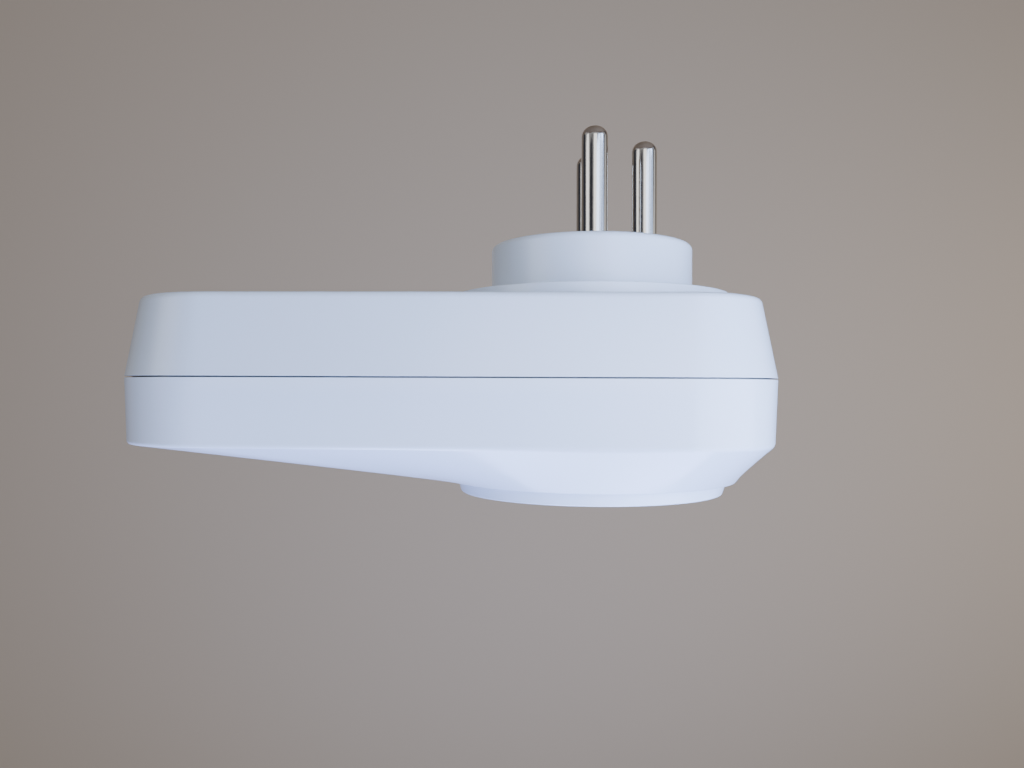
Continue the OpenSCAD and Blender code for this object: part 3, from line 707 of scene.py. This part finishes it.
def socket():
    """Ring, well and floor of the socket, with three rounded pin holes and screw posts behind."""
    shell = Shell()
    foot, lip, floor_round = 0.1 * MM, 0.7 * MM, 0.5 * MM
    post_r, post_low, pilot_r, pilot_top = 2.6 * MM, 26 * MM, 1.1 * MM, WELL_FLOOR - 1.2 * MM
    profile = [(INSERT_R, FLOOR_BACK), (INSERT_R, LEDGE), (RING_R - foot, LEDGE), (RING_R, LEDGE + foot)]
    profile += rounded(RING_R - RING_DRAFT, RING_DEPTH, -RING_ROUND, -1, 8)
    rim_middle = (RING_R - RING_ROUND + WELL_R + lip) / 2
    profile += [(rim_middle, RING_DEPTH)]
    for angle in quarter_turn(6):
        profile.append((WELL_R + lip * (1 - math.sin(angle)), RING_DEPTH - lip * (1 - math.cos(angle))))
    profile += [(WELL_R, WELL_FLOOR + floor_round),
                (WELL_R - floor_round * 0.3, WELL_FLOOR + floor_round * 0.3),
                (WELL_R - floor_round, WELL_FLOOR)]
    skin = shell.chain(turned(profile))
    fronts, backs = [skin[1]], [skin[0]]
    for place in PIN_PLACES.values():
        edge = rim(HOLE_R, HOLE_ROUND, place, flat_depth(WELL_FLOOR))
        hole = shell.chain(edge + [circle(HOLE_R, FLOOR_BACK, place)])
        fronts.append(hole[0])
        backs.append(hole[1])
    for place in INSERT_SCREWS:
        post_foot = circle(post_r, FLOOR_BACK, place)
        backs.append(shell.post(post_foot, post_r, post_low, pilot_r, pilot_top, place))
    shell.fill(fronts)
    shell.fill(backs)
    shell.piece("socket_ring", ["socket_insert"], "case_plastic")


# ---------- button, light, screws and spring ----------

def button(front):
    """Push button whose slightly dished top follows the slope of the front."""
    shell = Shell()
    centre = (0, BUTTON_Z)
    edge, dish = 0.45 * MM, 0.25 * MM
    rings = []
    for share in shares(10):
        sink = dish * (1 - share ** 2)
        rings.append(laid_on(front.slope, (BUTTON_R - edge) * share, centre, BUTTON_PROUD - sink))
    for angle in quarter_turn(6):
        reach = BUTTON_R - edge * (1 - math.sin(angle))
        sink = edge * (1 - math.cos(angle))
        rings.append(laid_on(front.slope, reach, centre, BUTTON_PROUD - sink))
    flange_r, flange_low, flange_top = button_high.x, 32.6 * MM, 33.5 * MM
    stem_r, stem_low = 1.5 * MM, -button_high.y
    rings += [circle(BUTTON_R, flange_top, centre), circle(flange_r, flange_top, centre),
              circle(flange_r, flange_low, centre), circle(stem_r, flange_low, centre),
              circle(stem_r, stem_low, centre)]
    shell.solid(rings)
    shell.piece("push_button", ["button_cap"], "button_plastic", body="button")


def light(front):
    """Clear light guide with a low domed end."""
    shell = Shell()
    centre = (0, LIGHT_Z)
    crown, drop = 0.1 * MM, 0.15 * MM
    rings = []
    for share in (0.3, 0.6, 0.85, 1.0):
        rings.append(laid_on(front.slope, LIGHT_R * share, centre, crown - drop * share ** 4))
    flange_r, flange_low, flange_top = 2.4 * MM, 34.8 * MM, 35.6 * MM
    inside = [(LIGHT_R, flange_top), (flange_r, flange_top), (flange_r, flange_low),
              (LIGHT_R, flange_low), (LIGHT_R, -light_high.y)]
    rings += turned(inside, centre, SMALL_TURN_STEPS)
    shell.solid(rings)
    shell.piece("status_light", ["light_guide"], "clear_plastic")


def cross(arm, half_width, depth, centre):
    """A plus-shaped ring of points with evenly spaced points along its edges."""
    steps = 3
    corners = []
    for c, s in ((1, 0), (0, 1), (-1, 0), (0, -1)):
        for u, v in ((half_width, -half_width), (arm, -half_width), (arm, half_width)):
            corners.append((u * c - v * s, u * s + v * c))
    points = []
    for i, here in enumerate(corners):
        there = corners[(i + 1) % len(corners)]
        for step in range(steps):
            share = step / steps
            points.append(Vector((centre[0] + here[0] + (there[0] - here[0]) * share, -depth,
                                  centre[1] + here[1] + (there[1] - here[1]) * share)))
    return points


def case_screws():
    """Four pan-headed screws with cross recesses, sunk in the back of the case."""
    shell = Shell()
    head_r, head_top, head_round, seat = 2.5 * MM, 13 * MM, 0.9 * MM, 15 * MM
    shank_r, point_top, point_r, tip = 1.15 * MM, 28.5 * MM, 0.3 * MM, 30 * MM
    arm, arm_floor, slot, slot_floor, recess = 1.25 * MM, 0.7 * MM, 0.28 * MM, 0.2 * MM, 1.2 * MM
    profile = rounded(head_r, head_top, head_round, 1, 6)
    profile += [(head_r, seat), (shank_r, seat), (shank_r, point_top), (point_r, tip)]
    for place in CASE_SCREWS:
        skin = shell.chain(turned(profile, place, SMALL_TURN_STEPS))
        shell.cap(skin[1])
        cut = shell.chain([cross(arm, slot, head_top, place),
                           cross(arm_floor, slot_floor, head_top + recess, place)])
        shell.cap(cut[1])
        shell.fill([skin[0], cut[0]])
    shell.piece("back_screws", ["case_screws"], "zinc_steel", sharp=30)


def spring():
    """Coil spring with closed ends that returns the shutter, built at one length, with a mesh of its own.
    """
    shell = Shell()
    coil_r, wire_r, depth = 1.3 * MM, 0.22 * MM, 28.6 * MM
    low, high, seat_gap = 0.42 * MM, 9.78 * MM, 0.02 * MM
    turns, steps, sides = 7, 24, 10
    closed_pitch = 2.1 * wire_r
    open_pitch = (high - low - 2 * wire_r - 2 * closed_pitch) / (turns - 2)
    rings = []
    for step in range(turns * steps + 1):
        turn = step / steps
        around = 2 * math.pi * turn
        closed = min(turn, 1) + max(turn - turns + 1, 0)
        z = low + wire_r + closed_pitch * closed + open_pitch * (turn - closed)
        ring = []
        for side in range(sides):
            about = 2 * math.pi * side / sides
            reach = coil_r + wire_r * math.cos(about)
            ring.append(Vector((reach * math.cos(around), -depth - reach * math.sin(around),
                                z + wire_r * math.sin(about))))
        rings.append(ring)
    shell.solid(rings)
    coil = shell.piece("return_spring", ["shutter_spring"], "spring_steel", sharp=60)
    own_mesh(coil)


# ---------- build ----------

front_surface = front_cover()
rear_cover()
boss()
for pin_name, pin_place in PIN_PLACES.items():
    pin(pin_name, pin_place)
socket()
button(front_surface)
light(front_surface)
case_screws()
spring()

slot_of = {part["node"]: part["material_slot"] for part in frame["record"]["subparts"]}
for name, thing in frame["nodes"].items():
    thing.data.materials.clear()
    thing.data.materials.append(materials[slot_of[name]])


# ---------- stage, light and camera ----------

MIDDLE = Vector((0, -20, 0)) * MM  # the object's middle, which the lights and cards are placed round
AIR_TINT = (0.98, 0.97, 1.0)
AIR_EVEN = 0.25
AIR_RISE = 0.33
STAGE_ROUGHNESS = 0.9

# The floor behind the object and the light that washes it, in metres and watts.
FLOOR_PLACE = (-0.5, 0, 0.02)
FLOOR_SIZE = 6
FLOOR_PAINT = (0.51, 0.405, 0.275)
WASH_PLACE = (-0.2, -0.03, -0.5)
WASH_SIZE = (0.3, 0.5)
WASH_POWER = 0.45
WASH_TINT = (1, 0.97, 0.93)

# The camera, with its lens and sensor in millimetres and its turns from square in radians.
CAMERA_PLACE = Vector((155.6, -25.3, 9.44)) * MM
CAMERA_LENS = 30.38
CAMERA_SENSOR = 36
CAMERA_YAW, CAMERA_PITCH, CAMERA_ROLL = -0.030, 0.005, -0.004

# Soft boxes: degrees right and up, distance, width and height in metres, power in watts, tint, and
# whether they show in reflections.
SOFTBOXES = [
    ("window", 48, -7, 0.2, 0.3, 0.26, 1.72, (0.475, 0.63, 1.0), True),
    ("nose_fill", 22, -4, 0.075, 0.04, 0.04, 0.026, (0.62, 0.71, 1.0), False),
    ("under", 10, -78, 0.36, 0.3, 0.3, 4.3, (0.39, 0.50, 1.0), True),
    ("front_fill", 2, 13, 0.5, 0.24, 0.2, 0.28, (1, 1, 1), True),
    ("glow", 30, 13, 0.5, 0.14, 0.2, 0.1, (1, 1, 1), True),
    ("side_strip", -64, 13, 0.5, 0.22, 0.2, 0.22, (1, 1, 1), True),
    ("wing", 100, 5, 0.4, 0.25, 0.3, 0.12, (1, 1, 1), True),
    ("rear_fill", 180, 10, 0.3, 0.3, 0.3, 0.6, (0.9, 0.95, 1), False),
]

# Cards that only show in reflections, and darken them: degrees right and up, distance, width and
# height in metres, colour and opacity.
FELT = (0.015, 0.015, 0.015)
FLAGS = [
    ("flag_near", -32, 13, 0.4, 0.14, 0.16, FELT, 1),
    ("flag_left", -98, 13, 0.4, 0.16, 0.24, FELT, 1),
    ("net_left", -132, 13, 0.4, 0.32, 0.24, FELT, 0.3),
    ("net_near", 27, 20, 0.19, 0.07, 0.07, FELT, 0.45),
    ("net_middle", 48, 20, 0.18, 0.07, 0.07, FELT, 0.66),
    ("net_right", 72, 20, 0.19, 0.1, 0.07, FELT, 0.76),
    ("net_far", 120, 16, 0.25, 0.34, 0.1, FELT, 0.6),
    ("card_above", 0, 90, 0.2, 0.5, 0.5, (0.16, 0.11, 0.06), 1),
]


def plain(name, color, opacity=1.0):
    """A rough, even material for the stage."""
    made = bpy.data.materials.new(name)
    made.use_nodes = True
    principled = made.node_tree.nodes["Principled BSDF"]
    principled.inputs["Base Color"].default_value = (*color, 1)
    principled.inputs["Roughness"].default_value = STAGE_ROUGHNESS
    principled.inputs["Alpha"].default_value = opacity
    return made


def card(name, centre, facing, width, height, material, reflected_only=False):
    """A flat stage panel at centre, facing a direction."""
    turn = Vector(facing).to_track_quat("Z", "Y").to_matrix().to_4x4()
    placed = Matrix.Translation(centre) @ turn
    corners = [Vector((x * width / 2, y * height / 2, 0)) for x, y in ((-1, -1), (1, -1), (1, 1), (-1, 1))]
    data = bpy.data.meshes.new(name)
    data.from_pydata([placed @ corner for corner in corners], [], [(0, 1, 2, 3)])
    thing = bpy.data.objects.new(name, data)
    thing.data.materials.append(material)
    if reflected_only:
        thing.visible_camera = thing.visible_diffuse = False
        thing.visible_shadow = thing.visible_transmission = False
    bpy.context.collection.objects.link(thing)


def softbox(name, location, toward, width, height, power, tint, reflected):
    """A rectangular light that the camera doesn't see, and that reflections may or may not show."""
    data = bpy.data.lights.new(name, "AREA")
    data.shape = "RECTANGLE"
    data.size, data.size_y = width, height
    data.energy = power
    data.color = tint
    thing = bpy.data.objects.new(name, data)
    thing.location = location
    thing.rotation_euler = toward.to_track_quat("-Z", "Y").to_euler()
    thing.visible_camera = False
    thing.visible_glossy = reflected
    bpy.context.collection.objects.link(thing)


def direction(right, up):
    """A direction from the object, in degrees right of the camera's side and up in its picture."""
    right, up = math.radians(right), math.radians(up)
    return Vector((math.cos(up) * math.cos(right), math.sin(up), -math.cos(up) * math.sin(right)))


def air():
    """Pale surroundings that get brighter towards the wall side."""
    world = bpy.data.worlds.new("pale_air")
    world.use_nodes = True
    tree = world.node_tree
    background = tree.nodes["Background"]
    place = node(tree, "ShaderNodeTexCoord")
    toward = node(tree, "ShaderNodeVectorMath", operation="DOT_PRODUCT")
    toward.inputs[1].default_value = (0, 1, 0)
    tree.links.new(place.outputs["Generated"], toward.inputs[0])
    strength = map_range(tree, toward.outputs["Value"], 0, 1, AIR_EVEN, AIR_EVEN + AIR_RISE)
    tree.links.new(strength, background.inputs["Strength"])
    background.inputs["Color"].default_value = (*AIR_TINT, 1)
    bpy.context.scene.world = world


def stage():
    """A plain floor behind the object, soft boxes, and cards that only show in reflections."""
    card("floor", FLOOR_PLACE, (1, 0, 0), FLOOR_SIZE, FLOOR_SIZE, plain("floor_paint", FLOOR_PAINT))
    for name, right, up, distance, width, height, color, opacity in FLAGS:
        toward = direction(right, up)
        card(name, MIDDLE + toward * distance, -toward, width, height, plain(name, color, opacity), True)
    for name, right, up, distance, width, height, power, tint, reflected in SOFTBOXES:
        toward = direction(right, up)
        softbox(name, MIDDLE + toward * distance, -toward, width, height, power, tint, reflected)
    softbox("floor_wash", WASH_PLACE, Vector((-1, 0, 0)), *WASH_SIZE, WASH_POWER, WASH_TINT, False)


def camera():
    """The camera, beside the case and nearly square to its side."""
    data = bpy.data.cameras.new("camera")
    data.lens = CAMERA_LENS
    data.sensor_width = CAMERA_SENSOR
    thing = bpy.data.objects.new("camera", data)
    square = Matrix(((0, 0, 1), (0, 1, 0), (-1, 0, 0)))
    yaw = Matrix.Rotation(-CAMERA_YAW, 3, "Y")
    pitch = Matrix.Rotation(CAMERA_PITCH, 3, "X")
    roll = Matrix.Rotation(-CAMERA_ROLL, 3, "Z")
    thing.matrix_world = Matrix.Translation(CAMERA_PLACE) @ (square @ yaw @ pitch @ roll).to_4x4()
    bpy.context.collection.objects.link(thing)
    bpy.context.scene.camera = thing


air()
stage()
camera()
